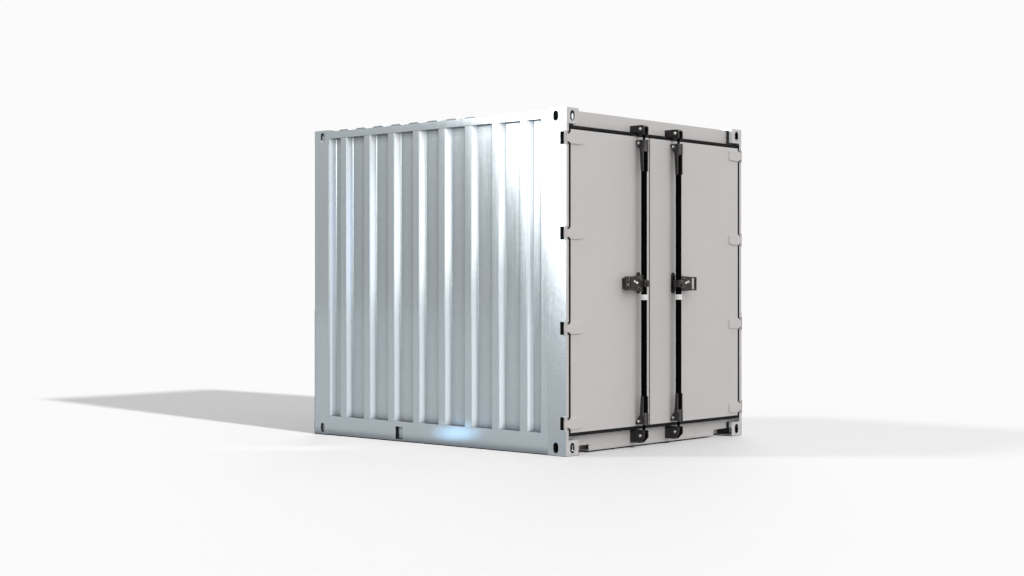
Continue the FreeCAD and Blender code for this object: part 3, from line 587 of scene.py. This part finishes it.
def ridge_ends(name, edge_y, inward_y):
    """Plates that close the ends of the roof ridges above a top rail."""
    step = 0.001
    least_height = 0.0015
    crest_margin = 0.0006
    inset = 0.0006
    thickness = 0.003
    seat = high_of("rail_top_left").z
    heights = ridge_heights(edge_y, inward_y, step)
    crest = max(heights.values())
    ridges = []
    for along in (place for place, height in heights.items() if height > least_height):
        if ridges and along - ridges[-1][-1] < 1.5 * step:
            ridges[-1].append(along)
        else:
            ridges.append([along])
    work = bmesh.new()
    for ridge in ridges:
        flat = [along for along in ridge if heights[along] > crest - crest_margin]
        if not flat:
            continue
        outline = [(ridge[0], 0.0), (flat[0], crest), (flat[-1], crest), (ridge[-1], 0.0)]
        outer, inner = ([work.verts.new((along, edge_y + inward_y * depth, seat + rise))
                         for along, rise in outline] for depth in (inset, inset + thickness))
        work.faces.new(outer)
        work.faces.new(inner[::-1])
        for corner in range(len(outline)):
            work.faces.new((outer[corner - 1], inner[corner - 1], inner[corner], outer[corner]))
    bmesh.ops.recalc_face_normals(work, faces=work.faces)
    return add_piece(name, finished_mesh(name, work, 30.0), "container", "galvanised_sheet")


# plates behind the slots of the bottom rails
SLOT_FROM_REAR = 1.032
SLOT_HALF = 0.06
SLOT_BACK = 0.022
SLOT_PLATE = 0.006
SLOT_PLATE_FOOT, SLOT_PLATE_TOP = 0.014, 0.130
slot_x = rear_plane + SLOT_FROM_REAR
for side, rail_y, inward_y in (("left", low_of("rail_bottom_left").y, 1.0),
                               ("right", high_of("rail_bottom_right").y, -1.0)):
    near_y, far_y = sorted((rail_y + inward_y * SLOT_BACK, rail_y + inward_y * (SLOT_BACK + SLOT_PLATE)))
    rounded_block("slot_back_" + side, Vector((slot_x - SLOT_HALF, near_y, SLOT_PLATE_FOOT)),
                  Vector((slot_x + SLOT_HALF, far_y, SLOT_PLATE_TOP)), 0.002, "container", "galvanised_sheet")

ridge_ends("ridge_ends_left", low_of("roof").y, 1.0)
ridge_ends("ridge_ends_right", high_of("roof").y, -1.0)


# ---------------------------------------------------------------- studio
def stage_panel(name, corners, colour, strength, fading=False):
    """A soft light panel, seen only in reflections and by its light.

    A fading one grows clear towards its rim, and shows in reflections only.
    """
    work = bmesh.new()
    work.faces.new([work.verts.new(corner) for corner in corners])
    mesh = bpy.data.meshes.new(name)
    work.to_mesh(mesh)
    work.free()
    made = bpy.data.materials.new(name)
    made.use_nodes = True
    tree = made.node_tree
    tree.nodes.clear()
    glow = tree.nodes.new("ShaderNodeEmission")
    glow.inputs["Color"].default_value = colour + (1.0,)
    glow.inputs["Strength"].default_value = strength
    shown = glow.outputs["Emission"]
    if fading:
        place = tree.nodes.new("ShaderNodeTexCoord").outputs["Generated"]
        offset = tree.nodes.new("ShaderNodeVectorMath")
        offset.operation = "DISTANCE"
        tree.links.new(stretched(tree, place, (1.0, 1.0, 0.0)), offset.inputs[0])
        offset.inputs[1].default_value = (0.5, 0.5, 0.0)
        fade = tree.nodes.new("ShaderNodeMixShader")
        clear = tree.nodes.new("ShaderNodeBsdfTransparent")
        tree.links.new(spread(tree, offset.outputs["Value"], 0.08, 0.5, 1.0, 0.0), fade.inputs["Fac"])
        tree.links.new(clear.outputs["BSDF"], fade.inputs[1])
        tree.links.new(shown, fade.inputs[2])
        shown = fade.outputs["Shader"]
    out = tree.nodes.new("ShaderNodeOutputMaterial")
    tree.links.new(shown, out.inputs["Surface"])
    mesh.materials.append(made)
    panel = bpy.data.objects.new(name, mesh)
    bpy.context.scene.collection.objects.link(panel)
    panel.visible_camera = False
    panel.visible_shadow = False
    panel.visible_diffuse = not fading
    return panel


def pale_floor():
    """Plain floor that only takes the shadows of the container."""
    half = 60.0
    below_feet = 0.0005
    work = bmesh.new()
    bmesh.ops.create_grid(work, x_segments=8, y_segments=8, size=half)
    mesh = bpy.data.meshes.new("floor")
    work.to_mesh(mesh)
    work.free()
    made = bpy.data.materials.new("floor_sweep")
    made.use_nodes = True
    shader = made.node_tree.nodes["Principled BSDF"]
    shader.inputs["Base Color"].default_value = (0.060, 0.062, 0.064, 1.0)
    shader.inputs["Roughness"].default_value = 0.8
    mesh.materials.append(made)
    plane = bpy.data.objects.new("floor", mesh)
    plane.location.z = -below_feet
    bpy.context.scene.collection.objects.link(plane)
    plane.is_shadow_catcher = True
    return plane


def right_panel(name, outline, colour, strength):
    """An upright panel beyond the door end, with its outline as places across and up."""
    from_middle = 10.0
    stage_panel(name, [middle + Vector((from_middle, y, z)) for y, z in outline], colour, strength)


def sun_lamp(name, strength, degrees_wide, source, takers):
    """A sun that shines from the direction of source, and only onto the takers."""
    lamp = bpy.data.lights.new(name, "SUN")
    lamp.energy = strength
    lamp.angle = math.radians(degrees_wide)
    sun = bpy.data.objects.new(name, lamp)
    sun.rotation_euler = (-source).to_track_quat("-Z", "Y").to_euler()
    bpy.context.scene.collection.objects.link(sun)
    lit = bpy.data.collections.new(name + "_light_takers")
    for piece in takers:
        lit.objects.link(piece)
    sun.light_linking.receiver_collection = lit


floor = pale_floor()
WHITE = (1.0, 1.0, 1.0)

# large slanted panel on the left of the camera: the bright sweep over the near half of the side wall
SWEEP_LONG = Vector((-0.566, 0.0, 0.824)) * 7.5
SWEEP_WIDE = Vector((0.824, 0.0, 0.566)) * 2.4
sweep_low = middle + Vector((-5.85, -11.0, 0.25))
stage_panel("panel_left", [sweep_low, sweep_low + SWEEP_WIDE, sweep_low + SWEEP_WIDE + SWEEP_LONG,
                           sweep_low + SWEEP_LONG], WHITE, 3.8)

# panels on the right of the camera: the bright upper faces of the corrugations, tinted at the ends
right_panel("panel_right", [(-9.2, 1.05), (-7.34, 1.56), (-6.5, 2.08), (-5.5, 2.8), (-5.5, 6.0), (-7.6, 6.0),
                            (-8.2, 3.5), (-9.2, 3.0)], WHITE, 1.65)
right_panel("panel_cool", [(-9.9, 0.9), (-9.2, 1.05), (-9.2, 3.3), (-9.9, 3.1)], (0.68, 0.78, 1.0), 1.0)
right_panel("panel_warm", [(-8.9, 3.4), (-8.2, 3.7), (-7.6, 6.0), (-8.5, 6.0)], (1.0, 0.80, 0.76), 1.2)

# cool oval card lying on the floor beside the wall: the blue glow low on the side rail
CARD_HALF_LONG, CARD_HALF_WIDE, CARD_CORNERS = 1.0, 0.24, 24
card = stage_panel("floor_card",
                   [Vector((CARD_HALF_LONG * math.cos(angle), CARD_HALF_WIDE * math.sin(angle), 0.0))
                    for angle in (2.0 * math.pi * corner / CARD_CORNERS for corner in range(CARD_CORNERS))],
                   (0.52, 0.76, 1.0), 1.7, fading=True)
card.location = Vector((-0.60, left_face - 0.93, 0.004))
card.rotation_euler.z = math.radians(47.0)

# key sun from the door end: the long shadow on the left, and the glints on the gear and the zinc
rounded_pieces = [item for item in bpy.context.scene.objects
                  if item.name.endswith("_rounded") and item.data.materials[0] in (gear_paint, zinc)]
sun_lamp("key", 12.5, 3.0, Vector((0.897, -0.127, 0.4236)), [floor] + gear + rounded_pieces)
# weaker second sun from the rear left: the faint shadow on the door side
sun_lamp("second", 2.6, 9.0, Vector((-0.72, -0.64, 0.80)), [floor])

# world: plain white to the camera; to the rest, bands of light that change with the direction and rise
SEEN_WHITE = (0.968, 0.966, 0.967)
ROUND_STOPS = [(0.0, 0.14), (0.06, 0.20), (0.105, 0.385), (0.16, 0.385), (0.22, 0.55), (0.32, 0.60),
               (0.40, 0.60), (0.50, 0.90), (0.59, 0.85), (0.64, 0.30), (0.70, 1.0), (0.78, 0.6), (0.85, 1.1),
               (0.93, 0.3), (1.0, 0.14)]
RISE_STOPS = [(0.5, 1.0), (0.85, 2.2)]
ROUND_TINT = (0.985, 0.995, 1.0)


def stepped_light(tree, value, stops, tint, blending):
    """A ramp of grey levels in a tint; each stop is a place between zero and one, and its level."""
    node = tree.nodes.new("ShaderNodeValToRGB")
    ramp = node.color_ramp
    ramp.interpolation = blending
    while len(ramp.elements) < len(stops):
        ramp.elements.new(0.5)
    for element, (place, level) in zip(ramp.elements, stops):
        element.position = place
        element.color = tuple(level * share for share in tint) + (1.0,)
    tree.links.new(value, node.inputs["Fac"])
    return node.outputs["Color"]


world = bpy.data.worlds.new("studio")
bpy.context.scene.world = world
world.use_nodes = True
sky = world.node_tree
sky.nodes.clear()
seen = sky.nodes.new("ShaderNodeBackground")
seen.inputs["Color"].default_value = SEEN_WHITE + (1.0,)
lit = sky.nodes.new("ShaderNodeBackground")
direction = axes_of(sky, sky.nodes.new("ShaderNodeTexCoord").outputs["Generated"])
azimuth = spread(sky, math_of(sky, "ARCTAN2", direction["Y"], direction["X"]), -math.pi, math.pi, 0.0, 1.0)
height = spread(sky, direction["Z"], -1.0, 1.0, 0.0, 1.0)
both = blend_colours(sky, 1.0, stepped_light(sky, azimuth, ROUND_STOPS, ROUND_TINT, "EASE"),
                     stepped_light(sky, height, RISE_STOPS, WHITE, "LINEAR"), "MULTIPLY")
sky.links.new(both, lit.inputs["Color"])
pick = sky.nodes.new("ShaderNodeMixShader")
sky.links.new(sky.nodes.new("ShaderNodeLightPath").outputs["Is Camera Ray"], pick.inputs["Fac"])
sky.links.new(lit.outputs["Background"], pick.inputs[1])
sky.links.new(seen.outputs["Background"], pick.inputs[2])
sky.links.new(pick.outputs["Shader"], sky.nodes.new("ShaderNodeOutputWorld").inputs["Surface"])
bpy.context.scene.view_settings.view_transform = "Standard"

# ---------------------------------------------------------------- camera
CAMERA_FROM_FOOT = Vector((7.469, -9.004, 1.249))
CAMERA_AZIMUTH = 41.64
lens = bpy.data.cameras.new("camera")
lens.sensor_width = 36.0
lens.lens = 55.55
lens.clip_end = 400.0
camera = bpy.data.objects.new("camera", lens)
camera.location = near_foot + CAMERA_FROM_FOOT
turn_left = math.radians(CAMERA_AZIMUTH)
look = Vector((-math.sin(turn_left), math.cos(turn_left), 0.0))
camera.rotation_euler = look.to_track_quat("-Z", "Y").to_euler()
bpy.context.scene.collection.objects.link(camera)
bpy.context.scene.camera = camera
